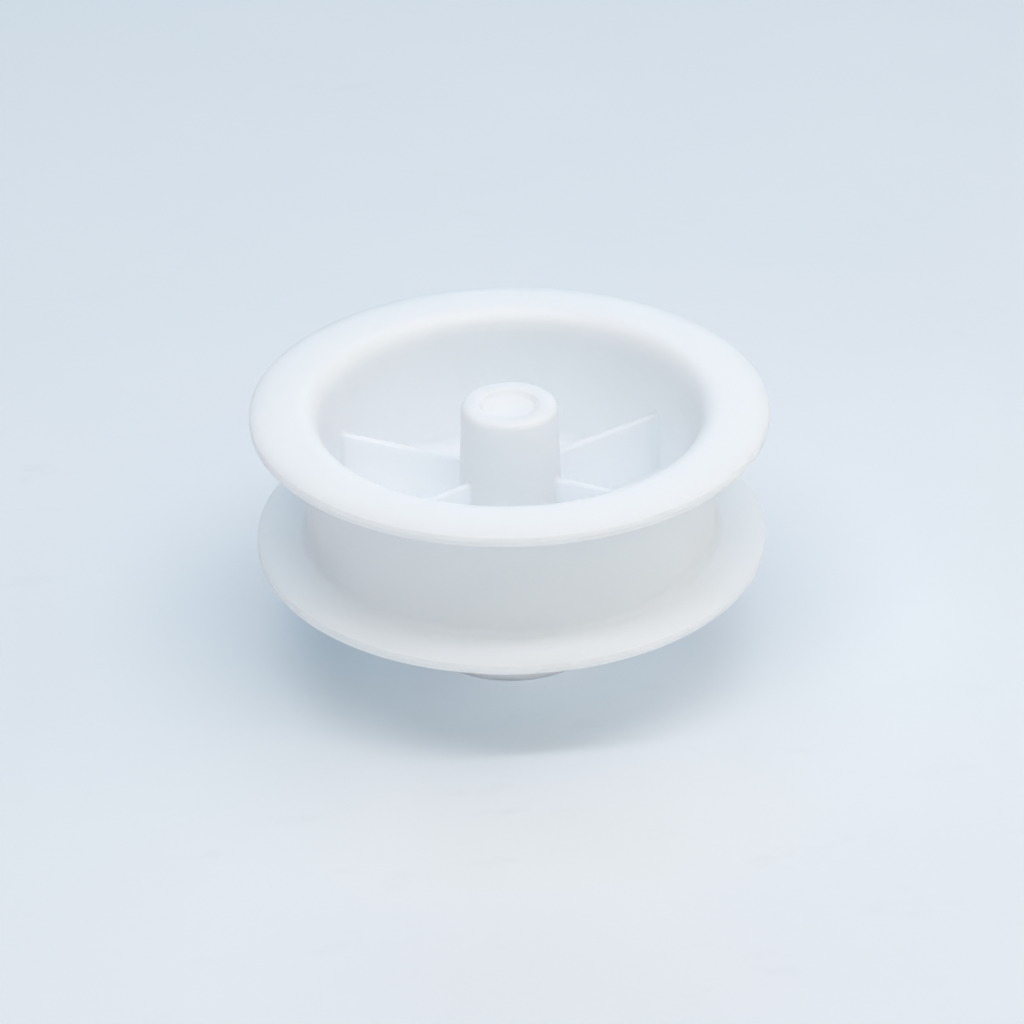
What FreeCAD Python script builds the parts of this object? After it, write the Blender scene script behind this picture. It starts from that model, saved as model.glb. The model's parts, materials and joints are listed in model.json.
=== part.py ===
"""Dryer idler pulley, moulded in one piece of white plastic.

Two equal flanges stand on a ring-shaped core, which is the floor of the belt groove. The core is the wall
of a cup that opens upwards: a web closes it at the lower flange, and four low ribs on the web, crossed like
an X, join the core to the hub tube in the middle. The tube's upper end is closed and has a shallow round
recess, so the shaft bore is blind. Below the web a cored boss stands round the lower half of the tube.

Millimetres. The origin is on the bore axis, in the plane of the boss's end, and +Z runs up the bore.
"""
import FreeCAD
import Part

import math
import os

import Sketcher

NODE = "idler_pulley"

# Driving dimensions: name, value, meaning. Lengths in millimetres, drafts and angles in degrees.
SIZES = [
    ("flange_diameter", 73.0, "outside diameter of both flanges"),
    ("rim_thickness", 1.4, "thickness of a flange at its rim"),
    ("flange_root_thickness", 2.2, "thickness of a flange where it meets the core"),
    ("crown_share", 0.35, "share of a flange's outer face that falls to its rim"),
    ("crown_blend_share", 0.75, "share of that band that curves into the flat of the face"),
    ("crown_drop", 0.4, "how far the band falls"),
    ("groove_width", 18.5, "width of the belt groove between the rims"),
    ("core_diameter", 58.4, "diameter of the belt groove's floor"),
    ("core_wall", 2.3, "thickness of the core at the cup's opening"),
    ("web_thickness", 1.6, "thickness of the web that closes the cup"),
    ("hub_diameter", 13.6, "diameter of the hub tube at either end"),
    ("hub_setback", 0.4, "depth of the hub's end below the upper flange's face"),
    ("hub_recess_diameter", 8.0, "diameter of the recess in the hub's closed end"),
    ("hub_recess_depth", 0.9, "depth of that recess"),
    ("hub_end_wall", 9.0, "thickness of the hub's end between the recess and the bore"),
    ("bore_diameter", 8.0, "diameter of the blind shaft bore"),
    ("boss_diameter", 27.5, "outside diameter of the boss at its end"),
    ("boss_wall", 2.5, "thickness of the boss's wall at its end"),
    ("boss_height", 16.2, "height of the boss below the web"),
    ("rib_angle", 30.0, "angle of each rib to the X axis"),
    ("rib_thickness", 1.5, "thickness of a rib inside the web"),
    ("rib_height", 9.55, "height of a rib above the web"),
    ("wall_draft", 1.0, "draft of the cup, the boss and the ribs"),
    ("hub_draft", 2.0, "draft of the hub tube"),
    ("opening_radius", 3.0, "rounding of the cup's opening"),
    ("groove_root_radius", 1.5, "rounding at both sides of the groove's floor"),
    ("cup_root_radius", 1.5, "rounding of the web into the core"),
    ("rim_chamfer", 0.25, "chamfer of the flanges' rims"),
    ("end_chamfer", 0.4, "chamfer of the bore, the hub, its recess and the boss at their ends"),
    ("rib_edge_radius", 0.3, "rounding along the tops of the ribs"),
]

# Heights above the boss's end, as expressions of the sheet.
WEB_BOTTOM = "Sizes.boss_height"
WEB_MIDDLE = f"({WEB_BOTTOM} + Sizes.web_thickness / 2)"
WEB_TOP = f"({WEB_BOTTOM} + Sizes.web_thickness)"
RIB_TOP = f"({WEB_TOP} + Sizes.rib_height)"
LOWER_RIM_BOTTOM = f"({WEB_BOTTOM} + Sizes.crown_drop)"
LOWER_RIM_TOP = f"({LOWER_RIM_BOTTOM} + Sizes.rim_thickness)"
LOWER_ROOT = f"({WEB_BOTTOM} + Sizes.flange_root_thickness)"
UPPER_RIM_BOTTOM = f"({LOWER_RIM_TOP} + Sizes.groove_width)"
UPPER_RIM_TOP = f"({UPPER_RIM_BOTTOM} + Sizes.rim_thickness)"
TOP = f"({UPPER_RIM_TOP} + Sizes.crown_drop)"
UPPER_ROOT = f"({TOP} - Sizes.flange_root_thickness)"
HUB_TOP = f"({TOP} - Sizes.hub_setback)"
HUB_RECESS_FLOOR = f"({HUB_TOP} - Sizes.hub_recess_depth)"
BORE_TOP = f"({HUB_RECESS_FLOOR} - Sizes.hub_end_wall)"

# Radii, with the draft that each wall gains over its height.
WALL_SLOPE = "tan(Sizes.wall_draft * 1 deg)"
HUB_SLOPE = "tan(Sizes.hub_draft * 1 deg)"
CUP_DEPTH = f"({TOP} - {WEB_TOP})"
AXIS = "0"
BORE_R = "Sizes.bore_diameter / 2"
HUB_RECESS_R = "Sizes.hub_recess_diameter / 2"
HUB_R = "Sizes.hub_diameter / 2"
HUB_FOOT_R = f"{HUB_R} + ({HUB_TOP} - {WEB_TOP}) * {HUB_SLOPE}"
TUBE_ROOT_R = f"{HUB_R} + {WEB_BOTTOM} * {HUB_SLOPE}"
BOSS_R = "Sizes.boss_diameter / 2"
BOSS_ROOT_R = f"{BOSS_R} + {WEB_BOTTOM} * {WALL_SLOPE}"
RECESS_R = f"{BOSS_R} - Sizes.boss_wall"
RECESS_ROOT_R = f"{RECESS_R} - {WEB_BOTTOM} * {WALL_SLOPE}"
CORE_R = "Sizes.core_diameter / 2"
OPENING_R = f"({CORE_R} - Sizes.core_wall)"
CUP_ROOT_R = f"{OPENING_R} - {CUP_DEPTH} * {WALL_SLOPE}"
FLANGE_R = "Sizes.flange_diameter / 2"
RIM_FACE_R = f"({FLANGE_R} - Sizes.rim_chamfer)"
CROWN_WIDTH = f"(Sizes.crown_share * ({RIM_FACE_R} - {OPENING_R} - Sizes.opening_radius))"
CROWN_R = f"({RIM_FACE_R} - {CROWN_WIDTH})"
CROWN_LEAN = f"atan(Sizes.crown_drop / {CROWN_WIDTH})"

# The half section's corners in order, from the lower end of the bore outwards: name, radius, height.
GROUND = "0"
SECTION = [
    ("bore_foot", BORE_R, GROUND),
    ("tube_end", HUB_R, GROUND),
    ("tube_root", TUBE_ROOT_R, WEB_BOTTOM),
    ("recess_root", RECESS_ROOT_R, WEB_BOTTOM),
    ("recess_mouth", RECESS_R, GROUND),
    ("boss_end", BOSS_R, GROUND),
    ("boss_root", BOSS_ROOT_R, WEB_BOTTOM),
    ("lower_crown", CROWN_R, WEB_BOTTOM),
    ("lower_band_end", RIM_FACE_R, LOWER_RIM_BOTTOM),
    ("lower_rim_bottom", FLANGE_R, f"{LOWER_RIM_BOTTOM} + Sizes.rim_chamfer"),
    ("lower_rim_top", FLANGE_R, f"{LOWER_RIM_TOP} - Sizes.rim_chamfer"),
    ("lower_flank", RIM_FACE_R, LOWER_RIM_TOP),
    ("lower_groove_root", CORE_R, LOWER_ROOT),
    ("upper_groove_root", CORE_R, UPPER_ROOT),
    ("upper_flank", RIM_FACE_R, UPPER_RIM_BOTTOM),
    ("upper_rim_bottom", FLANGE_R, f"{UPPER_RIM_BOTTOM} + Sizes.rim_chamfer"),
    ("upper_rim_top", FLANGE_R, f"{UPPER_RIM_TOP} - Sizes.rim_chamfer"),
    ("upper_band_end", RIM_FACE_R, UPPER_RIM_TOP),
    ("upper_crown", CROWN_R, TOP),
    ("opening", OPENING_R, TOP),
    ("cup_root", CUP_ROOT_R, WEB_TOP),
    ("hub_foot", HUB_FOOT_R, WEB_TOP),
    ("hub_end", HUB_R, HUB_TOP),
    ("hub_recess_mouth", HUB_RECESS_R, HUB_TOP),
    ("hub_recess_root", HUB_RECESS_R, HUB_RECESS_FLOOR),
    ("hub_recess_middle", AXIS, HUB_RECESS_FLOOR),
    ("bore_middle", AXIS, BORE_TOP),
    ("bore_end", BORE_R, BORE_TOP),
]

# Corners of the section that are drawn round, and the radius of each.
CROWN_ROUNDING = f"Sizes.crown_blend_share * {CROWN_WIDTH} / tan({CROWN_LEAN} / 2)"
ROUNDED = {
    "lower_crown": CROWN_ROUNDING,
    "lower_groove_root": "Sizes.groove_root_radius",
    "upper_groove_root": "Sizes.groove_root_radius",
    "upper_crown": CROWN_ROUNDING,
    "opening": "Sizes.opening_radius",
    "cup_root": "Sizes.cup_root_radius",
}
# Corners that are chamfered once the form is turned.
CHAMFERED = ["bore_foot", "boss_end", "hub_end", "hub_recess_mouth"]

# Two coordinates closer than this are the same.
SAME = 1e-4


def make_sheet(doc):
    """Put every driving dimension in its own named cell."""
    sheet = doc.addObject("Spreadsheet::Sheet", "Sizes")
    for row, (name, value, meaning) in enumerate(SIZES, start=1):
        sheet.set(f"A{row}", name)
        sheet.set(f"B{row}", str(value))
        sheet.setAlias(f"B{row}", name)
        sheet.set(f"C{row}", meaning)
    doc.recompute()


def number(owner, expression):
    """Value of an expression of the sheet, as a plain number."""
    value = owner.evalExpression(expression)
    return float(getattr(value, "Value", value))


def origin_feature(body, role):
    """The body's own origin plane or axis with this role."""
    return next(item for item in body.Origin.OriginFeatures if item.Role == role)


def lay_on(plane, item):
    """Attach a sketch or a plane to another plane."""
    item.AttachmentSupport = [(plane, "")]
    item.MapMode = "FlatFace"


def new_sketch(body, name, plane):
    """An empty sketch on a plane of the body."""
    sketch = body.newObject("Sketcher::SketchObject", name)
    lay_on(plane, sketch)
    return sketch


def bind(sketch, name, expression, kind, *elements):
    """Add a dimension to a sketch and tie it to the sheet."""
    index = sketch.addConstraint(Sketcher.Constraint(kind, *elements, number(sketch, expression)))
    sketch.renameConstraint(index, name)
    sketch.setExpression(f"Constraints.{name}", expression)


def hold(sketch, element, name, across, up):
    """Tie the first point of an element to the sheet."""
    if across == AXIS:
        sketch.addConstraint(Sketcher.Constraint("PointOnObject", element, 1, -2))
    else:
        bind(sketch, f"{name}_across", across, "DistanceX", -1, 1, element, 1)
    if up == GROUND:
        sketch.addConstraint(Sketcher.Constraint("PointOnObject", element, 1, -1))
    else:
        bind(sketch, f"{name}_up", up, "DistanceY", -1, 1, element, 1)


def rounding(corner, before, after, radius):
    """Arc that rounds a corner between its neighbours, and whether it turns to the left."""
    back = (before - corner).normalize()
    ahead = (after - corner).normalize()
    half = back.getAngle(ahead) / 2
    reach = radius / math.tan(half)
    inset = radius / math.sin(half) - radius
    middle = corner + (back + ahead).normalize() * inset
    arc = Part.Arc(corner + back * reach, middle, corner + ahead * reach)
    return arc, ahead.cross(back).z > 0


def draw_outline(sketch, corners, rounded=None):
    """Draw the closed outline through the corners, some of them round, and tie it to the sheet."""
    rounded = rounded or {}
    points = [FreeCAD.Vector(number(sketch, across), number(sketch, up), 0) for _, across, up in corners]
    arcs = {}
    for place, (name, _, _) in enumerate(corners):
        if name in rounded:
            radius = number(sketch, rounded[name])
            after = points[(place + 1) % len(points)]
            arcs[place] = rounding(points[place], points[place - 1], after, radius)
    for place, point in enumerate(points):
        following = (place + 1) % len(points)
        start = arcs[place][0].EndPoint if place in arcs else point
        end = arcs[following][0].StartPoint if following in arcs else points[following]
        sketch.addGeometry(Part.LineSegment(start, end), False)
    for place, (name, across, up) in enumerate(corners):
        line_before = (place - 1) % len(points)
        if place not in arcs:
            sketch.addConstraint(Sketcher.Constraint("Coincident", line_before, 2, place, 1))
            hold(sketch, place, name, across, up)
            continue
        shape, leftward = arcs[place]
        arc = sketch.addGeometry(shape, False)
        near, far = (1, 2) if leftward else (2, 1)
        mark = sketch.addGeometry(Part.Point(points[place]), True)
        sketch.addConstraint(Sketcher.Constraint("Tangent", line_before, 2, arc, near))
        sketch.addConstraint(Sketcher.Constraint("Tangent", arc, far, place, 1))
        sketch.addConstraint(Sketcher.Constraint("PointOnObject", mark, 1, line_before))
        sketch.addConstraint(Sketcher.Constraint("PointOnObject", mark, 1, place))
        hold(sketch, mark, name, across, up)
        bind(sketch, f"{name}_radius", rounded[name], "Radius", arc)


def add_turned_form(body):
    """Everything round the axis, turned from its half section."""
    section = new_sketch(body, "HalfSection", origin_feature(body, "XZ_Plane"))
    draw_outline(section, SECTION, ROUNDED)
    turned = body.newObject("PartDesign::Revolution", "TurnedForm")
    turned.Profile = section
    turned.ReferenceAxis = (section, ["V_Axis"])
    turned.Angle = 360.0
    body.Document.recompute()


def ring_edge(feature, corner):
    """Name of the round edge that a corner of the section has drawn."""
    radius, height = next((number(feature, across), number(feature, up))
                          for name, across, up in SECTION if name == corner)
    for index, edge in enumerate(feature.Shape.Edges, start=1):
        curve = edge.Curve
        if not isinstance(curve, Part.Circle):
            continue
        if abs(curve.Radius - radius) < SAME and abs(curve.Center.z - height) < SAME:
            return f"Edge{index}"
    raise RuntimeError(f"no round edge at {corner}")


def dress(body, kind, name, edges, size_property, size):
    """Round or chamfer edges of the body's last feature."""
    base = body.Tip
    feature = body.newObject(f"PartDesign::{kind}", name)
    feature.Base = (base, edges)
    feature.setExpression(size_property, f"Sizes.{size}")
    body.Document.recompute()


def chamfer_ends(body):
    """Chamfer the ends of the bore, the hub, its recess and the boss."""
    edges = [ring_edge(body.Tip, corner) for corner in CHAMFERED]
    dress(body, "Chamfer", "EndChamfers", edges, "Size", "end_chamfer")


def rib_plane(body):
    """An upright plane through the axis, square to the first rib."""
    plane = body.newObject("PartDesign::Plane", "RibPlane")
    lay_on(origin_feature(body, "XZ_Plane"), plane)
    clockwise = FreeCAD.Rotation(FreeCAD.Vector(0, -1, 0), 90.0)
    plane.AttachmentOffset = FreeCAD.Placement(FreeCAD.Vector(), clockwise)
    plane.setExpression("AttachmentOffset.Rotation.Angle", "90 deg - Sizes.rib_angle * 1 deg")
    body.Document.recompute()
    return plane


def add_rib(body):
    """One drafted rib, from inside the hub's wall to inside the core."""
    start = "(Sizes.bore_diameter + Sizes.hub_diameter) / 4"
    end = f"({CORE_R} - Sizes.core_wall / 2)"
    foot = "Sizes.rib_thickness / 2"
    crest = f"({foot} - ({RIB_TOP} - {WEB_MIDDLE}) * {WALL_SLOPE})"
    across = new_sketch(body, "RibSection", rib_plane(body))
    across.setExpression("AttachmentOffset.Base.z", f"-{start}")
    draw_outline(across, [
        ("foot_left", f"-{foot}", WEB_MIDDLE),
        ("foot_right", foot, WEB_MIDDLE),
        ("crest_right", crest, RIB_TOP),
        ("crest_left", f"-{crest}", RIB_TOP),
    ])
    rib = body.newObject("PartDesign::Pad", "Rib")
    rib.Profile = across
    rib.Reversed = True
    rib.setExpression("Length", f"{end} - {start}")
    body.Document.recompute()
    return rib


def mirror_rib(body, rib):
    """The rib and its images in the two upright planes."""
    ribs = body.newObject("PartDesign::MultiTransform", "Ribs")
    ribs.Originals = [rib]
    mirrors = []
    for name, role in (("LeftRibs", "YZ_Plane"), ("FrontRibs", "XZ_Plane")):
        mirror = body.newObject("PartDesign::Mirrored", name)
        mirror.MirrorPlane = (origin_feature(body, role), [""])
        mirrors.append(mirror)
    ribs.Transformations = mirrors
    body.Tip = ribs
    body.Document.recompute()


def round_crests(body):
    """Round the long upper edges of the ribs."""
    height = number(body.Tip, RIB_TOP)
    names = []
    for index, edge in enumerate(body.Tip.Shape.Edges, start=1):
        at_crest = abs(edge.BoundBox.ZMin - height) < SAME and edge.BoundBox.ZLength < SAME
        if at_crest and isinstance(edge.Curve, Part.Line):
            names.append(f"Edge{index}")
    dress(body, "Fillet", "RibCrests", names, "Radius", "rib_edge_radius")


def check(doc, body):
    """Stop if a feature failed or the pulley isn't one sound solid."""
    for item in doc.Objects:
        if "Invalid" in item.State or "Error" in item.State:
            raise RuntimeError(f"{item.Name} failed: {item.State}")
    shape = body.Shape
    if shape.isNull() or not shape.isValid() or len(shape.Solids) != 1:
        raise RuntimeError("the pulley is not one valid solid")


doc = FreeCAD.newDocument("IdlerPulley")
make_sheet(doc)
pulley = doc.addObject("PartDesign::Body", "Pulley")
pulley.Label = NODE
pulley.Placement = FreeCAD.Placement()
add_turned_form(pulley)
chamfer_ends(pulley)
mirror_rib(pulley, add_rib(pulley))
round_crests(pulley)
doc.recompute()
check(doc, pulley)
os.makedirs("parts", exist_ok=True)
pulley.Shape.exportStep(os.path.join("parts", f"{NODE}.step"))
print(NODE, "volume in cubic millimetres:", round(pulley.Shape.Volume, 1))
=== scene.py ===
"""Dressed scene of the dryer idler pulley: one white moulding that stands on a pale floor.

Metres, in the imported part's frame: the bore runs along Z, and the boss stands on z = 0.
The moulding's two sections are drawn as outlines with a rounding at each corner. Geometry Nodes turn one
round the bore, sweep the other into a rib, repeat the rib and join everything into one skin.
"""
import json
import math

import bpy
from mathutils import Matrix, Vector

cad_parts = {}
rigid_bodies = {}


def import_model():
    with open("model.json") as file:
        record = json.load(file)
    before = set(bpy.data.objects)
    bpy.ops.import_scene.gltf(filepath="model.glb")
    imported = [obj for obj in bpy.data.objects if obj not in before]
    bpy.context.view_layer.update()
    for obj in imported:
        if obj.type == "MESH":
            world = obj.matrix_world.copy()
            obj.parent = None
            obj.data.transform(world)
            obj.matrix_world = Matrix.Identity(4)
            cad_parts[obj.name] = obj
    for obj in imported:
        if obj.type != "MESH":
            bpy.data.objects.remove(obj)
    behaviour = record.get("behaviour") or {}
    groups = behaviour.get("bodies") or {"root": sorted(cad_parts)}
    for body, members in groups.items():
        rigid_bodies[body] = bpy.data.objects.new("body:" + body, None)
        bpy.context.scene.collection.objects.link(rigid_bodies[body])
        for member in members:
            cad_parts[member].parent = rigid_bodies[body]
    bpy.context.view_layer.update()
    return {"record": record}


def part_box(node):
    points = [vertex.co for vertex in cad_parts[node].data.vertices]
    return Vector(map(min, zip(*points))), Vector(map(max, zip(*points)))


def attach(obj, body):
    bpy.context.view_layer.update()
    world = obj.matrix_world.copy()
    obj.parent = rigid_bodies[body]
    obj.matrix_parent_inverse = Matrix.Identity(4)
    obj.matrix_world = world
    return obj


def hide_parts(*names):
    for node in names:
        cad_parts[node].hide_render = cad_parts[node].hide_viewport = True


MM = 0.001
NODE = "idler_pulley"

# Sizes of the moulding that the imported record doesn't give, in millimetres and degrees.
RIM_THICKNESS = 1.4
FLANGE_ROOT = 2.2
CROWN_DROP = 0.4
CROWN_WIDTH = 2.4
GROOVE_WIDTH = 18.5
CORE_WALL = 2.3
WEB_THICKNESS = 1.6
HUB_RADIUS = 6.8
HUB_RECESS_RADIUS = 4.0
HUB_RECESS_DEPTH = 0.9
BOSS_WALL = 2.5
BOSS_END_CHAMFER = 0.4
RIB_COUNT = 4
RIB_ANGLE = 30.0
RIB_THICKNESS = 1.45
RIB_HEIGHT = 9.55
WALL_DRAFT = 1.0
HUB_DRAFT = 2.0

# Parting lines, roundings and how deep the ribs reach into the walls, in millimetres.
PARTING_HEIGHT = 0.05
PARTING_WIDTH = 0.22
PARTING_CREST = 0.08
RIM_ROUNDING = 0.22
OPENING_ROUNDING = 3.0
GROOVE_ROUNDING = 1.5
CROWN_ROUNDING = 14.0
CUP_ROUNDING = 1.5
HUB_ROOT_ROUNDING = 1.0
HUB_END_ROUNDING = 0.9
HUB_RECESS_EDGE = 0.4
HUB_RECESS_ROOT = 0.6
BORE_END_ROUNDING = 0.5
END_ROUNDING = 0.35
BOSS_ROUNDING = 0.8
RIB_ROOT_ROUNDING = 0.6
RIB_CREST_ROUNDING = 0.42
RIB_SINK = 0.02
RIB_BURIAL = 0.5

# How finely the outlines are rounded, turned and swept.
FEWEST_STEPS = 3
STEPS_PER_METRE = 3000.0
MOST_STEPS = 12
TURN_SEGMENTS = 256
POLE_GAP = 1e-6
RIB_STEPS = 48
RIB_END_SHARE = 0.001

# Noise behind the surface effects: detail, roughness, and the values that become 0 and 1.
CLOUD_NOISE = {"Detail": 3.0, "Roughness": 0.55}
CLOUD_SPAN = {"From Min": 0.3, "From Max": 0.7}
GRAIN_NOISE = {"Detail": 2.0, "Roughness": 0.6}
WAVE_NOISE = {"Detail": 1.0, "Roughness": 0.4}
SCUFF_NOISE = {"Detail": 4.0, "Roughness": 0.6}
SCUFF_SPAN = {"From Min": 0.6, "From Max": 0.72}
PATCH_NOISE = {"Detail": 1.0, "Roughness": 0.5}
PATCH_SPAN = {"From Min": 0.5, "From Max": 0.65}

# Colours and finish of the plastic and the floor; scales are per metre, depths in millimetres.
PLASTIC_DEEP = (0.913, 0.94, 0.964, 1.0)
PLASTIC_PALE = (0.937, 0.96, 0.98, 1.0)
PLASTIC_ROUGHNESS = 0.42
PLASTIC_CLOUD_ROUGHNESS = 0.06
PLASTIC_SCUFF_ROUGHNESS = 0.1
PLASTIC_IOR = 1.5
PLASTIC_REACH = (1.0, 1.0, 1.0)
PLASTIC_DEPTH = 6.0
PLASTIC_FORWARD = 0.7
PLASTIC_CLOUDS = {"Scale": 55.0}
PLASTIC_SCUFFS = {"Scale": 160.0, "Stretch": (1.0, 1.0, 4.0), "Patch Scale": 40.0}
PLASTIC_GRAIN = {"Grain Scale": 2600.0, "Wave Scale": 130.0, "Wave Share": 0.8}
PLASTIC_BUMP = {"Strength": 0.25, "Distance": 0.06 * MM}
FLOOR_DEEP = (0.84, 0.875, 0.91, 1.0)
FLOOR_PALE = (0.86, 0.895, 0.93, 1.0)
FLOOR_RUBBED = (0.78, 0.815, 0.85, 1.0)
FLOOR_RUBBED_SHARE = 0.5
FLOOR_ROUGHNESS = 0.5
FLOOR_CLOUD_ROUGHNESS = 0.1
FLOOR_CLOUDS = {"Scale": 14.0}
FLOOR_SCUFFS = {"Scale": 60.0, "Stretch": (1.0, 2.5, 1.0), "Patch Scale": 9.0}
FLOOR_GRAIN = {"Grain Scale": 900.0, "Wave Scale": 40.0, "Wave Share": 0.4}
FLOOR_BUMP = {"Strength": 0.1, "Distance": 0.1 * MM}
FLOOR_HALF_SIZE = 3.0

# Soft panels: place and size in metres, power in watts, colour.
PANELS = {
    "overhead_panel": ((0.0, 0.0, 1.0), (1.2, 1.2), 4.81, (0.992, 1.0, 0.923)),
    "front_panel": ((0.0, -1.0, 0.4), (1.2, 0.8), 0.47, (1.0, 1.0, 1.0)),
    "back_panel": ((0.0, 1.0, 0.4), (1.2, 0.8), 2.44, (0.423, 0.800, 1.0)),
    "left_panel": ((-1.0, 0.0, 0.4), (1.2, 0.8), 0.30, (0.100, 0.200, 1.0)),
    "right_panel": ((1.0, 0.0, 0.4), (1.2, 0.8), 1.73, (0.813, 1.0, 0.904)),
    "high_right_panel": ((0.7, 0.0, 0.7), (0.6, 0.6), 0.58, (1.0, 0.680, 0.860)),
    "front_right_panel": ((0.5, -0.55, 0.65), (0.5, 0.5), 0.53, (1.0, 0.570, 0.440)),
}

# Long strips across the view: degrees from upright towards the viewer, power in watts, colour.
STRIPS = {
    "high_front_strip": (18.0, 0.86, (0.961, 0.931, 1.0)),
    "low_front_strip": (50.0, 0.21, (0.550, 1.0, 0.890)),
    "back_strip": (-30.0, 0.21, (0.050, 0.260, 1.0)),
}

# Distance and size of the strips and the point that lamps look at, in metres; a plain lamp's spread in degrees.
STRIP_DISTANCE = 0.6
STRIP_SIZE = (0.7, 0.04)
LAMP_AIM = (0.0, 0.0, 0.02)
LAMP_SPREAD = 180.0

# A narrow beam from the front that passes under the lower flange to the boss's foot: metres, degrees and watts.
BEAM_TILT = 83.0
BEAM_AIM = (0.0, -0.014, 0.0015)
BEAM_SIZE = (0.05, 0.006)
BEAM_SPREAD = 1.0
BEAM_POWER = 0.0003
BEAM_COLOUR = (1.0, 1.0, 1.0)

# The room's even light.
ROOM_COLOUR = (1.0, 1.0, 1.0, 1.0)
ROOM_STRENGTH = 0.207

# White walls pass light on many times before it fades.
LIGHT_BOUNCES = 24

# The photograph's view, in degrees and millimetres.
VIEW_AZIMUTH = -5.7
VIEW_ELEVATION = 30.92
VIEW_DISTANCE = 410.0
VIEW_AIM_ASIDE = 0.16
VIEW_AIM_HEIGHT = 20.04
VIEW_ROLL = -0.848
LENS = 100.42
SENSOR = 36.0


class Nodes:
    """A node tree being built. add() places one node and fills its inputs with values or with outputs."""

    def __init__(self, tree):
        self.tree = tree

    def add(self, kind, inputs=None, **settings):
        node = self.tree.nodes.new(kind)
        for name, value in settings.items():
            setattr(node, name, value)
        for name, value in (inputs or {}).items():
            self.feed(node.inputs[name], value)
        return node

    def feed(self, socket, value):
        values = value if isinstance(value, list) else [value]
        for item in values:
            if isinstance(item, bpy.types.NodeSocket):
                self.tree.links.new(item, socket)
            else:
                socket.default_value = item

    def math(self, operation, first, second=0.0, third=0.0):
        node = self.add("ShaderNodeMath", {0: first, 1: second, 2: third}, operation=operation)
        return node.outputs[0]

    def split(self, vector):
        return self.add("ShaderNodeSeparateXYZ", {0: vector}).outputs

    def join(self, x=0.0, y=0.0, z=0.0):
        return self.add("ShaderNodeCombineXYZ", {0: x, 1: y, 2: z}).outputs[0]


def new_group(name, kind, inputs, outputs):
    """An empty node group with named sockets: its builder, what goes in and what comes out."""
    tree = bpy.data.node_groups.new(name, kind)
    for label, socket_kind in inputs:
        tree.interface.new_socket(label, in_out="INPUT", socket_type=socket_kind)
    for label, socket_kind in outputs:
        tree.interface.new_socket(label, in_out="OUTPUT", socket_type=socket_kind)
    nodes = Nodes(tree)
    given = nodes.add("NodeGroupInput").outputs
    result = nodes.add("NodeGroupOutput").inputs
    return nodes, given, result


def place_group(nodes, group, inputs):
    """Put a node group into a tree and fill its inputs."""
    kind = "GeometryNodeGroup" if group.bl_idname == "GeometryNodeTree" else "ShaderNodeGroup"
    node = nodes.add(kind, node_tree=group)
    for name, value in inputs.items():
        nodes.feed(node.inputs[name], value)
    return node.outputs


def read_sizes(frame):
    """Radii and heights of the moulding in metres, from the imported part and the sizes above."""
    mounts = {item["name"]: item for item in frame["record"]["mounts"]}
    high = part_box(NODE)[1]
    bore = mounts["shaft_bore"]
    groove_radius, _, groove_middle = mounts["belt_groove"]["pos_m"]
    size = {
        "flange": high.x,
        "top": high.z,
        "bore": bore["dims"]["r_mm"] * MM,
        "bore_top": bore["pos_m"][2] + bore["dims"]["length_mm"] / 2 * MM,
        "hub_top": mounts["hub_face"]["pos_m"][2],
        "core": groove_radius,
        "upper_rim": groove_middle + GROOVE_WIDTH / 2 * MM,
        "lower_rim": groove_middle - GROOVE_WIDTH / 2 * MM,
        "boss": mounts["boss_face"]["pos_m"][0] + (BOSS_WALL + BOSS_END_CHAMFER) / 2 * MM,
        "wall_slope": math.tan(math.radians(WALL_DRAFT)),
        "hub_slope": math.tan(math.radians(HUB_DRAFT)),
    }
    size["web_bottom"] = size["lower_rim"] - (RIM_THICKNESS + CROWN_DROP) * MM
    size["web_top"] = size["web_bottom"] + WEB_THICKNESS * MM
    size["opening"] = size["core"] - CORE_WALL * MM
    size["cup_root"] = size["opening"] - (size["top"] - size["web_top"]) * size["wall_slope"]
    size["hub_root"] = HUB_RADIUS * MM + (size["hub_top"] - size["web_top"]) * size["hub_slope"]
    return size


def rim_corners(size, bottom):
    """A flange's rim with its parting line, from one edge to the other: radius, height and rounding."""
    rim = size["flange"] - PARTING_HEIGHT * MM
    middle = bottom + RIM_THICKNESS / 2 * MM
    foot = PARTING_WIDTH / 2 * MM
    crest = PARTING_CREST / 2 * MM
    edge = RIM_ROUNDING * MM
    return [
        (rim, bottom, edge),
        (rim, middle - foot, 0.0),
        (size["flange"], middle - crest, 0.0),
        (size["flange"], middle + crest, 0.0),
        (rim, middle + foot, 0.0),
        (rim, bottom + RIM_THICKNESS * MM, edge),
    ]


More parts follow.
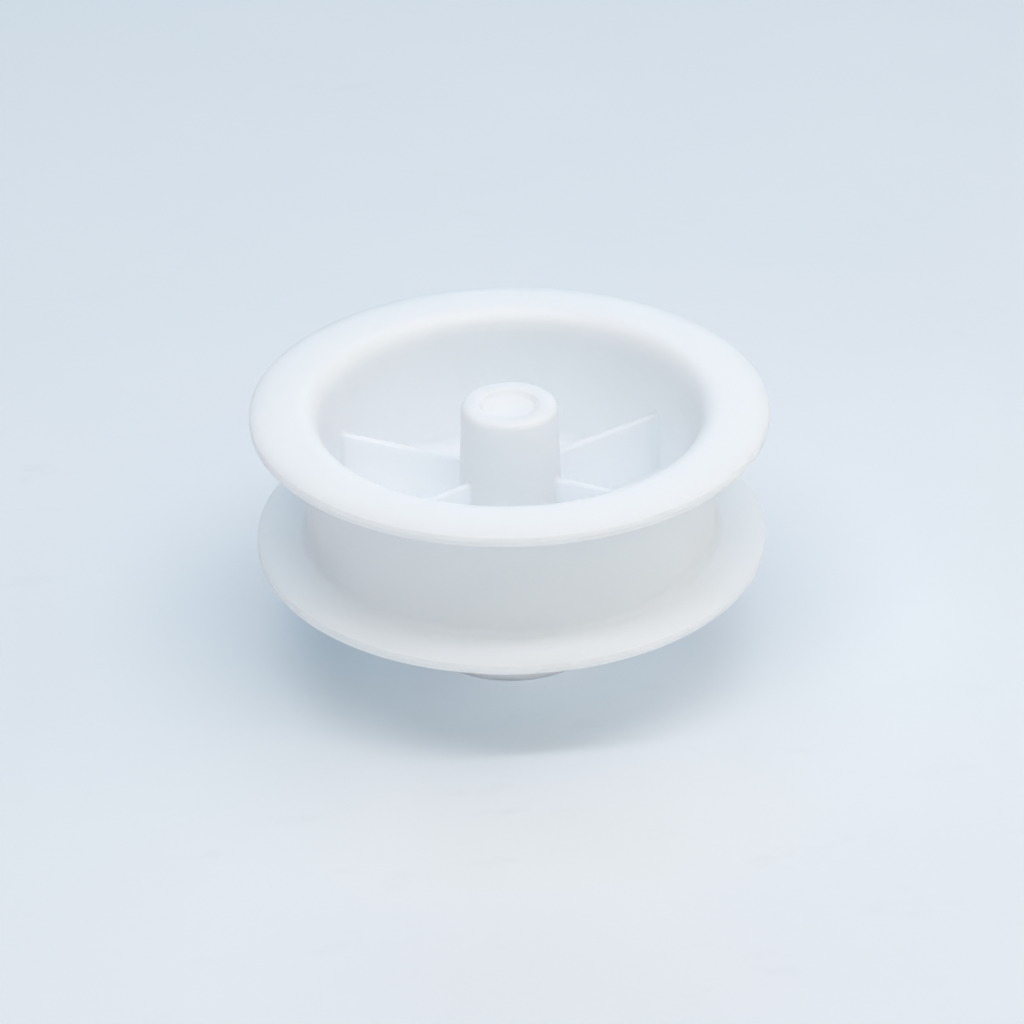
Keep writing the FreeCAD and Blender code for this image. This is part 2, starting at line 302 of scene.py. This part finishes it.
def turned_section(size):
    """The half section, anticlockwise from the bore's blind end: radius, height and rounding of each corner."""
    hub = HUB_RADIUS * MM
    web_bottom = size["web_bottom"]
    tube_root = hub + web_bottom * size["hub_slope"]
    boss_root = size["boss"] + web_bottom * size["wall_slope"]
    boss_recess = size["boss"] - BOSS_WALL * MM
    boss_recess_root = boss_recess - web_bottom * size["wall_slope"]
    crown = size["flange"] - CROWN_WIDTH * MM
    recess = HUB_RECESS_RADIUS * MM
    recess_floor = size["hub_top"] - HUB_RECESS_DEPTH * MM
    end = END_ROUNDING * MM
    lower_rim_bottom = size["lower_rim"] - RIM_THICKNESS * MM
    return [
        (0.0, size["bore_top"], 0.0),
        (size["bore"], size["bore_top"], BORE_END_ROUNDING * MM),
        (size["bore"], 0.0, end),
        (hub, 0.0, end),
        (tube_root, web_bottom, BOSS_ROUNDING * MM),
        (boss_recess_root, web_bottom, BOSS_ROUNDING * MM),
        (boss_recess, 0.0, end),
        (size["boss"], 0.0, end),
        (boss_root, web_bottom, BOSS_ROUNDING * MM),
        (crown, web_bottom, CROWN_ROUNDING * MM),
        *rim_corners(size, lower_rim_bottom),
        (size["core"], web_bottom + FLANGE_ROOT * MM, GROOVE_ROUNDING * MM),
        (size["core"], size["top"] - FLANGE_ROOT * MM, GROOVE_ROUNDING * MM),
        *rim_corners(size, size["upper_rim"]),
        (crown, size["top"], CROWN_ROUNDING * MM),
        (size["opening"], size["top"], OPENING_ROUNDING * MM),
        (size["cup_root"], size["web_top"], CUP_ROUNDING * MM),
        (size["hub_root"], size["web_top"], HUB_ROOT_ROUNDING * MM),
        (hub, size["hub_top"], HUB_END_ROUNDING * MM),
        (recess, size["hub_top"], HUB_RECESS_EDGE * MM),
        (recess, recess_floor, HUB_RECESS_ROOT * MM),
        (0.0, recess_floor, 0.0),
    ]


def rib_section(size):
    """A rib's cross section, anticlockwise from its buried foot: across, height and rounding of each corner."""
    foot_height = size["web_top"] - RIB_SINK * MM
    crest_height = size["web_top"] + RIB_HEIGHT * MM
    foot = RIB_THICKNESS / 2 * MM
    crest = foot - RIB_HEIGHT * MM * size["wall_slope"]
    spread = foot + (RIB_ROOT_ROUNDING + RIB_BURIAL) * MM
    buried = foot_height - RIB_BURIAL * MM
    root = RIB_ROOT_ROUNDING * MM
    edge = RIB_CREST_ROUNDING * MM
    right = [
        (spread, buried, 0.0),
        (spread, foot_height, 0.0),
        (foot, foot_height, root),
        (crest, crest_height, edge),
    ]
    left = [(-across, height, rounding) for across, height, rounding in reversed(right)]
    return right + left


def draw_outlines(name, outlines):
    """A curve object with one outline after another. A point's radius says how round its corner is."""
    curve = bpy.data.curves.new(name, "CURVE")
    curve.dimensions = "3D"
    for corners, closed in outlines:
        spline = curve.splines.new("POLY")
        spline.points.add(len(corners) - 1)
        for point, (across, height, rounding) in zip(spline.points, corners):
            point.co = (across, 0.0, height, 1.0)
            point.radius = rounding
        spline.use_cyclic_u = closed
    outline = bpy.data.objects.new(name, curve)
    bpy.context.scene.collection.objects.link(outline)
    return outline


def laid_outline_group():
    """Rounds an outline's corners and lays it in the plane that a sweep expects."""
    nodes, given, result = new_group(
        "Rounded outline laid for a sweep", "GeometryNodeTree",
        [("Outline", "NodeSocketGeometry"), ("Axis Distance", "NodeSocketFloat"),
         ("Fewest Steps", "NodeSocketInt"), ("Steps per Metre", "NodeSocketFloat"),
         ("Most Steps", "NodeSocketInt")],
        [("Outline", "NodeSocketGeometry")])
    radius = nodes.add("GeometryNodeInputRadius").outputs[0]
    steps = nodes.math("MULTIPLY_ADD", radius, given["Steps per Metre"], given["Fewest Steps"])
    steps = nodes.math("MINIMUM", steps, given["Most Steps"])
    rounded = nodes.add("GeometryNodeFilletCurve", {
        "Curve": given["Outline"], "Count": steps, "Radius": radius, "Limit Radius": True}, mode="POLY")
    across, _, height = nodes.split(nodes.add("GeometryNodeInputPosition").outputs[0])
    offset = nodes.math("SUBTRACT", across, given["Axis Distance"])
    place = nodes.join(offset, nodes.math("MULTIPLY", height, -1.0))
    laid = nodes.add("GeometryNodeSetPosition", {"Geometry": rounded.outputs[0], "Position": place})
    facing = nodes.add("GeometryNodeReverseCurve", {"Curve": laid.outputs[0]})
    nodes.feed(result["Outline"], facing.outputs[0])
    return nodes.tree


def turned_form_group():
    """Turns a laid outline once round the bore's axis and closes it where it meets the axis."""
    nodes, given, result = new_group(
        "Form turned round the bore", "GeometryNodeTree",
        [("Outline", "NodeSocketGeometry"), ("Axis Distance", "NodeSocketFloat"),
         ("Segments", "NodeSocketInt")],
        [("Form", "NodeSocketGeometry")])
    ring = nodes.add("GeometryNodeCurvePrimitiveCircle", {
        "Resolution": given["Segments"], "Radius": given["Axis Distance"]})
    form = nodes.add("GeometryNodeCurveToMesh", {
        "Curve": ring.outputs["Curve"], "Profile Curve": given["Outline"]})
    closed = nodes.add("GeometryNodeMergeByDistance", {"Geometry": form.outputs[0], "Distance": POLE_GAP})
    nodes.feed(result["Form"], closed.outputs[0])
    return nodes.tree


def end_flare(nodes, gap, radius):
    """How far a rib's skin swells at this gap from a wall, so that it meets the wall in a round."""
    inside = nodes.math("MAXIMUM", nodes.math("SUBTRACT", radius, gap), 0.0)
    whole = nodes.math("MULTIPLY", radius, radius)
    rest = nodes.math("SUBTRACT", whole, nodes.math("MULTIPLY", inside, inside))
    return nodes.math("SUBTRACT", radius, nodes.math("SQRT", nodes.math("MAXIMUM", rest, 0.0)))


def rib_group():
    """Sweeps a laid rib section from the hub to the cup's wall, with round ends that follow both walls."""
    nodes, given, result = new_group(
        "Rib from hub to wall", "GeometryNodeTree",
        [("Outline", "NodeSocketGeometry"), ("Steps", "NodeSocketInt"), ("Web Height", "NodeSocketFloat"),
         ("Hub Radius", "NodeSocketFloat"), ("Hub Slope", "NodeSocketFloat"),
         ("Wall Radius", "NodeSocketFloat"), ("Wall Slope", "NodeSocketFloat"),
         ("End Rounding", "NodeSocketFloat"), ("Sink", "NodeSocketFloat"), ("Burial", "NodeSocketFloat")],
        [("Rib", "NodeSocketGeometry")])
    along_x, along_y, _ = nodes.split(nodes.add("GeometryNodeInputTangent").outputs[0])
    outward = nodes.join(along_y, 0.0, along_x)
    marked = nodes.add("GeometryNodeStoreNamedAttribute", {
        "Geometry": given["Outline"], "Name": "outward", "Value": outward}, data_type="FLOAT_VECTOR")
    line = nodes.add("GeometryNodeCurvePrimitiveLine", {"Start": (0.0, 0.0, 0.0), "End": (0.0, 1.0, 0.0)})
    stations = nodes.add("GeometryNodeResampleCurve", {"Curve": line.outputs[0], "Count": given["Steps"]})
    swept = nodes.add("GeometryNodeCurveToMesh", {
        "Curve": stations.outputs[0], "Profile Curve": marked.outputs[0], "Fill Caps": True})

    across, share, height = nodes.split(nodes.add("GeometryNodeInputPosition").outputs[0])
    eased = nodes.math("MULTIPLY_ADD", nodes.math("COSINE", nodes.math("MULTIPLY", share, math.pi)), -0.5, 0.5)
    rise = nodes.math("SUBTRACT", height, given["Web Height"])
    hub = nodes.math("SUBTRACT", given["Hub Radius"], nodes.math("MULTIPLY", rise, given["Hub Slope"]))
    wall = nodes.math("MULTIPLY_ADD", rise, given["Wall Slope"], given["Wall Radius"])
    start = nodes.math("SUBTRACT", hub, given["Sink"])
    stop = nodes.math("ADD", wall, given["Sink"])
    length = nodes.math("SUBTRACT", stop, start)
    reach = nodes.math("MULTIPLY", eased, length)
    at_start = nodes.math("LESS_THAN", share, RIB_END_SHARE)
    at_stop = nodes.math("GREATER_THAN", share, 1.0 - RIB_END_SHARE)
    burial = nodes.math("MULTIPLY", nodes.math("SUBTRACT", at_stop, at_start), given["Burial"])
    radius = nodes.math("ADD", nodes.math("ADD", start, reach), burial)

    swell = nodes.math(
        "ADD", end_flare(nodes, reach, given["End Rounding"]),
        end_flare(nodes, nodes.math("SUBTRACT", length, reach), given["End Rounding"]))
    named = nodes.add("GeometryNodeInputNamedAttribute", {"Name": "outward"}, data_type="FLOAT_VECTOR")
    out_x, _, out_z = nodes.split(named.outputs["Attribute"])
    x = nodes.math("MULTIPLY_ADD", out_x, swell, across)
    z = nodes.math("MULTIPLY_ADD", out_z, swell, height)
    flat = nodes.math("SUBTRACT", nodes.math("MULTIPLY", radius, radius), nodes.math("MULTIPLY", x, x))
    placed = nodes.add("GeometryNodeSetPosition", {
        "Geometry": swept.outputs[0], "Position": nodes.join(x, nodes.math("SQRT", flat), z)})
    nodes.feed(result["Rib"], placed.outputs[0])
    return nodes.tree


def moulding_tree():
    """The whole moulding from its two outlines: turned form and ribs, joined into one smooth skin."""
    nodes, given, result = new_group(
        "Ribbed pulley moulding", "GeometryNodeTree",
        [("Outlines", "NodeSocketGeometry"), ("Turning Radius", "NodeSocketFloat"),
         ("Turn Segments", "NodeSocketInt"), ("Rib Count", "NodeSocketInt"),
         ("Rib Angle", "NodeSocketFloat"), ("Rib Steps", "NodeSocketInt"),
         ("Web Height", "NodeSocketFloat"), ("Hub Radius", "NodeSocketFloat"),
         ("Hub Slope", "NodeSocketFloat"), ("Wall Radius", "NodeSocketFloat"),
         ("Wall Slope", "NodeSocketFloat"), ("Rib Rounding", "NodeSocketFloat"),
         ("Rib Sink", "NodeSocketFloat"), ("Rib Burial", "NodeSocketFloat"),
         ("Plastic", "NodeSocketMaterial")],
        [("Moulding", "NodeSocketGeometry")])
    # The outline drawn first, of index 0, is the turned section; the other one is the rib's.
    index = nodes.add("GeometryNodeInputIndex").outputs[0]
    sorted_outlines = nodes.add("GeometryNodeSeparateGeometry", {
        "Geometry": given["Outlines"], "Selection": index}, domain="CURVE").outputs
    steps = {"Fewest Steps": FEWEST_STEPS, "Steps per Metre": STEPS_PER_METRE, "Most Steps": MOST_STEPS}
    lay = laid_outline_group()
    section = place_group(nodes, lay, {
        "Outline": sorted_outlines["Inverted"], "Axis Distance": given["Turning Radius"], **steps})
    turned = place_group(nodes, turned_form_group(), {
        "Outline": section[0], "Axis Distance": given["Turning Radius"], "Segments": given["Turn Segments"]})
    across = place_group(nodes, lay, {"Outline": sorted_outlines["Selection"], "Axis Distance": 0.0, **steps})
    rib = place_group(nodes, rib_group(), {
        "Outline": across[0], "Steps": given["Rib Steps"], "Web Height": given["Web Height"],
        "Hub Radius": given["Hub Radius"], "Hub Slope": given["Hub Slope"],
        "Wall Radius": given["Wall Radius"], "Wall Slope": given["Wall Slope"],
        "End Rounding": given["Rib Rounding"], "Sink": given["Rib Sink"], "Burial": given["Rib Burial"]})

    places = nodes.add("GeometryNodePoints", {"Count": given["Rib Count"]})
    side = nodes.math("MODULO", index, 2.0)
    half_turns = nodes.math("MULTIPLY", nodes.math("FLOOR", nodes.math("DIVIDE", index, 2.0)), math.pi)
    lean = nodes.math("MULTIPLY", nodes.math("MULTIPLY_ADD", side, -2.0, 1.0), given["Rib Angle"])
    turn = nodes.math("SUBTRACT", nodes.math("ADD", half_turns, lean), math.pi / 2)
    around = nodes.add("FunctionNodeEulerToRotation", {0: nodes.join(z=turn)})
    ribs = nodes.add("GeometryNodeInstanceOnPoints", {
        "Points": places.outputs[0], "Instance": rib[0], "Rotation": around.outputs[0]})
    loose = nodes.add("GeometryNodeRealizeInstances", {"Geometry": ribs.outputs[0]})
    joined = nodes.add("GeometryNodeMeshBoolean", {"Mesh 2": [turned[0], loose.outputs[0]]},
                       operation="UNION", solver="MANIFOLD")
    smooth = nodes.add("GeometryNodeSetShadeSmooth", {"Geometry": joined.outputs[0], "Shade Smooth": True})
    whole = nodes.add("GeometryNodeRealizeInstances", {"Geometry": smooth.outputs[0]})
    dressed = nodes.add("GeometryNodeSetMaterial", {"Geometry": whole.outputs[0], "Material": given["Plastic"]})
    nodes.feed(result["Moulding"], dressed.outputs[0])
    return nodes.tree


def plain_mesh(piece):
    """What a piece and its modifiers make, as a mesh of its own."""
    return bpy.data.meshes.new_from_object(piece.evaluated_get(bpy.context.evaluated_depsgraph_get()))


def make_moulding(size, plastic):
    """The pulley as one plain mesh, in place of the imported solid."""
    drawn = draw_outlines("moulding_outlines", [(turned_section(size), False), (rib_section(size), True)])
    modifier = drawn.modifiers.new("Moulding", "NODES")
    modifier.node_group = moulding_tree()
    values = {
        "Turning Radius": size["core"], "Turn Segments": TURN_SEGMENTS,
        "Rib Count": RIB_COUNT, "Rib Angle": math.radians(RIB_ANGLE), "Rib Steps": RIB_STEPS,
        "Web Height": size["web_top"], "Hub Radius": size["hub_root"], "Hub Slope": size["hub_slope"],
        "Wall Radius": size["cup_root"], "Wall Slope": size["wall_slope"],
        "Rib Rounding": RIB_ROOT_ROUNDING * MM, "Rib Sink": RIB_SINK * MM, "Rib Burial": RIB_BURIAL * MM,
        "Plastic": plastic,
    }
    for item in modifier.node_group.interface.items_tree:
        if item.in_out == "INPUT" and item.name in values:
            modifier[item.identifier] = values[item.name]
    moulding = bpy.data.objects.new("pulley_moulding", plain_mesh(drawn))
    bpy.context.scene.collection.objects.link(moulding)
    bpy.data.objects.remove(drawn)
    even = moulding.modifiers.new("Even shading", "WEIGHTED_NORMAL")
    even.keep_sharp = True
    moulding.data = plain_mesh(moulding)
    moulding.modifiers.remove(even)
    return moulding


def tone_clouds_group():
    """Soft patches that run from 0 to 1."""
    nodes, given, result = new_group(
        "Tone clouds", "ShaderNodeTree",
        [("Coordinates", "NodeSocketVector"), ("Scale", "NodeSocketFloat")], [("Mask", "NodeSocketFloat")])
    noise = nodes.add("ShaderNodeTexNoise", {
        "Vector": given["Coordinates"], "Scale": given["Scale"], **CLOUD_NOISE})
    spread = nodes.add("ShaderNodeMapRange", {"Value": noise.outputs[0], **CLOUD_SPAN})
    nodes.feed(result["Mask"], spread.outputs[0])
    return nodes.tree


def fine_grain_group():
    """Height of a fine grain on a slow waviness, for a bump."""
    nodes, given, result = new_group(
        "Fine grain", "ShaderNodeTree",
        [("Coordinates", "NodeSocketVector"), ("Grain Scale", "NodeSocketFloat"),
         ("Wave Scale", "NodeSocketFloat"), ("Wave Share", "NodeSocketFloat")],
        [("Height", "NodeSocketFloat")])
    grain = nodes.add("ShaderNodeTexNoise", {
        "Vector": given["Coordinates"], "Scale": given["Grain Scale"], **GRAIN_NOISE})
    wave = nodes.add("ShaderNodeTexNoise", {
        "Vector": given["Coordinates"], "Scale": given["Wave Scale"], **WAVE_NOISE})
    apart = nodes.math("SUBTRACT", wave.outputs[0], grain.outputs[0])
    nodes.feed(result["Height"], nodes.math("MULTIPLY_ADD", apart, given["Wave Share"], grain.outputs[0]))
    return nodes.tree


def scuffs_group():
    """Short faint rubs that run one way, bunched in patches: 0 to 1."""
    nodes, given, result = new_group(
        "Faint scuffs", "ShaderNodeTree",
        [("Coordinates", "NodeSocketVector"), ("Scale", "NodeSocketFloat"),
         ("Stretch", "NodeSocketVector"), ("Patch Scale", "NodeSocketFloat")],
        [("Mask", "NodeSocketFloat")])
    drawn = nodes.add("ShaderNodeVectorMath", {
        0: given["Coordinates"], 1: given["Stretch"]}, operation="MULTIPLY")
    lines = nodes.add("ShaderNodeTexNoise", {
        "Vector": drawn.outputs[0], "Scale": given["Scale"], **SCUFF_NOISE})
    marks = nodes.add("ShaderNodeMapRange", {"Value": lines.outputs[0], **SCUFF_SPAN})
    patch = nodes.add("ShaderNodeTexNoise", {
        "Vector": given["Coordinates"], "Scale": given["Patch Scale"], **PATCH_NOISE})
    bunch = nodes.add("ShaderNodeMapRange", {"Value": patch.outputs[0], **PATCH_SPAN})
    nodes.feed(result["Mask"], nodes.math("MULTIPLY", marks.outputs[0], bunch.outputs[0]))
    return nodes.tree


def blend(nodes, share, first, second):
    """Colour between two colours."""
    mix = nodes.add("ShaderNodeMix", {0: share, 6: first, 7: second}, data_type="RGBA")
    return mix.outputs[2]


def new_material(name):
    """An empty material: itself, its nodes' builder, its Principled inputs and the object's coordinates."""
    material = bpy.data.materials.new(name)
    material.use_nodes = True
    nodes = Nodes(material.node_tree)
    place = nodes.add("ShaderNodeTexCoord").outputs["Object"]
    return material, nodes, material.node_tree.nodes["Principled BSDF"].inputs, place


def white_plastic(effects):
    """White, translucent plastic with a satin moulded finish."""
    material, nodes, inputs, place = new_material("White moulded plastic")
    clouds = place_group(nodes, effects["clouds"], {"Coordinates": place, **PLASTIC_CLOUDS})
    scuffs = place_group(nodes, effects["scuffs"], {"Coordinates": place, **PLASTIC_SCUFFS})
    grain = place_group(nodes, effects["grain"], {"Coordinates": place, **PLASTIC_GRAIN})
    tone = blend(nodes, clouds[0], PLASTIC_DEEP, PLASTIC_PALE)
    nodes.feed(inputs["Base Color"], tone)
    finish = nodes.math("MULTIPLY_ADD", clouds[0], PLASTIC_CLOUD_ROUGHNESS, PLASTIC_ROUGHNESS)
    nodes.feed(inputs["Roughness"], nodes.math("MULTIPLY_ADD", scuffs[0], PLASTIC_SCUFF_ROUGHNESS, finish))
    inputs["IOR"].default_value = PLASTIC_IOR
    inputs["Subsurface Weight"].default_value = 1.0
    inputs["Subsurface Radius"].default_value = PLASTIC_REACH
    inputs["Subsurface Scale"].default_value = PLASTIC_DEPTH * MM
    inputs["Subsurface Anisotropy"].default_value = PLASTIC_FORWARD
    bump = nodes.add("ShaderNodeBump", {"Height": grain[0], **PLASTIC_BUMP})
    nodes.feed(inputs["Normal"], bump.outputs[0])
    return material


def pale_floor(effects):
    """Matt pale sheet with the traces of some use."""
    material, nodes, inputs, place = new_material("Pale floor")
    clouds = place_group(nodes, effects["clouds"], {"Coordinates": place, **FLOOR_CLOUDS})
    scuffs = place_group(nodes, effects["scuffs"], {"Coordinates": place, **FLOOR_SCUFFS})
    grain = place_group(nodes, effects["grain"], {"Coordinates": place, **FLOOR_GRAIN})
    tone = blend(nodes, clouds[0], FLOOR_DEEP, FLOOR_PALE)
    rubbed = nodes.math("MULTIPLY", scuffs[0], FLOOR_RUBBED_SHARE)
    nodes.feed(inputs["Base Color"], blend(nodes, rubbed, tone, FLOOR_RUBBED))
    finish = nodes.math("MULTIPLY_ADD", clouds[0], FLOOR_CLOUD_ROUGHNESS, FLOOR_ROUGHNESS)
    nodes.feed(inputs["Roughness"], finish)
    bump = nodes.add("ShaderNodeBump", {"Height": grain[0], **FLOOR_BUMP})
    nodes.feed(inputs["Normal"], bump.outputs[0])
    return material


def make_floor(material):
    """A wide pale floor."""
    mesh = bpy.data.meshes.new("floor")
    half = FLOOR_HALF_SIZE
    corners = [(-half, -half, 0), (half, -half, 0), (half, half, 0), (-half, half, 0)]
    mesh.from_pydata(corners, [], [(0, 1, 2, 3)])
    floor = bpy.data.objects.new("floor", mesh)
    bpy.context.scene.collection.objects.link(floor)
    mesh.materials.append(material)


def strip_place(tilt):
    """A place above the pulley, this many degrees from upright towards the viewer."""
    angle = math.radians(tilt)
    return (0.0, -math.sin(angle) * STRIP_DISTANCE, math.cos(angle) * STRIP_DISTANCE)


def add_lamp(name, place, size, power, colour, aim=LAMP_AIM, spread=LAMP_SPREAD):
    """A rectangular lamp that looks at a point; its spread says how wide its light fans out, in degrees."""
    lamp = bpy.data.lights.new(name, "AREA")
    lamp.shape = "RECTANGLE"
    lamp.size, lamp.size_y = size
    lamp.energy = power
    lamp.color = colour
    lamp.spread = math.radians(spread)
    light = bpy.data.objects.new(name, lamp)
    bpy.context.scene.collection.objects.link(light)
    light.location = place
    light.rotation_euler = (Vector(aim) - Vector(place)).to_track_quat("-Z", "Y").to_euler()


def make_light():
    """An evenly lit room with large soft panels all round, long strips above and a low beam in front."""
    world = bpy.data.worlds.new("Plain room")
    bpy.context.scene.world = world
    world.use_nodes = True
    background = world.node_tree.nodes["Background"].inputs
    background["Color"].default_value = ROOM_COLOUR
    background["Strength"].default_value = ROOM_STRENGTH
    for name, (place, size, power, colour) in PANELS.items():
        add_lamp(name, place, size, power, colour)
    for name, (tilt, power, colour) in STRIPS.items():
        add_lamp(name, strip_place(tilt), STRIP_SIZE, power, colour)
    add_lamp("low_front_beam", strip_place(BEAM_TILT), BEAM_SIZE, BEAM_POWER, BEAM_COLOUR,
             BEAM_AIM, BEAM_SPREAD)


def make_camera():
    """The photograph's camera."""
    lens = bpy.data.cameras.new("photo_camera")
    lens.lens = LENS
    lens.sensor_width = SENSOR
    camera = bpy.data.objects.new("photo_camera", lens)
    bpy.context.scene.collection.objects.link(camera)
    turn = Matrix.Rotation(math.radians(VIEW_AZIMUTH), 3, "Z")
    tilt = Matrix.Rotation(math.radians(90.0 - VIEW_ELEVATION), 3, "X")
    roll = Matrix.Rotation(math.radians(VIEW_ROLL), 3, "Z")
    axes = turn @ tilt
    aim = turn @ Vector((VIEW_AIM_ASIDE * MM, 0.0, VIEW_AIM_HEIGHT * MM))
    camera.location = aim + axes @ Vector((0.0, 0.0, VIEW_DISTANCE * MM))
    camera.rotation_euler = (axes @ roll).to_euler()
    bpy.context.scene.camera = camera


def clear_start_objects():
    """Remove what a new file starts with."""
    for item in list(bpy.data.objects):
        bpy.data.objects.remove(item)


clear_start_objects()
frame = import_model()
sizes = read_sizes(frame)
effects = {"clouds": tone_clouds_group(), "grain": fine_grain_group(), "scuffs": scuffs_group()}
pulley = make_moulding(sizes, white_plastic(effects))
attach(pulley, "root")
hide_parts(NODE)
make_floor(pale_floor(effects))
make_light()
make_camera()
bpy.context.scene.view_settings.view_transform = "Standard"
bpy.context.scene.cycles.max_bounces = LIGHT_BOUNCES
bpy.context.scene.cycles.diffuse_bounces = LIGHT_BOUNCES
# All lamps take equal turns, so that the weak, narrow beam isn't passed over.
bpy.context.scene.cycles.use_light_tree = False
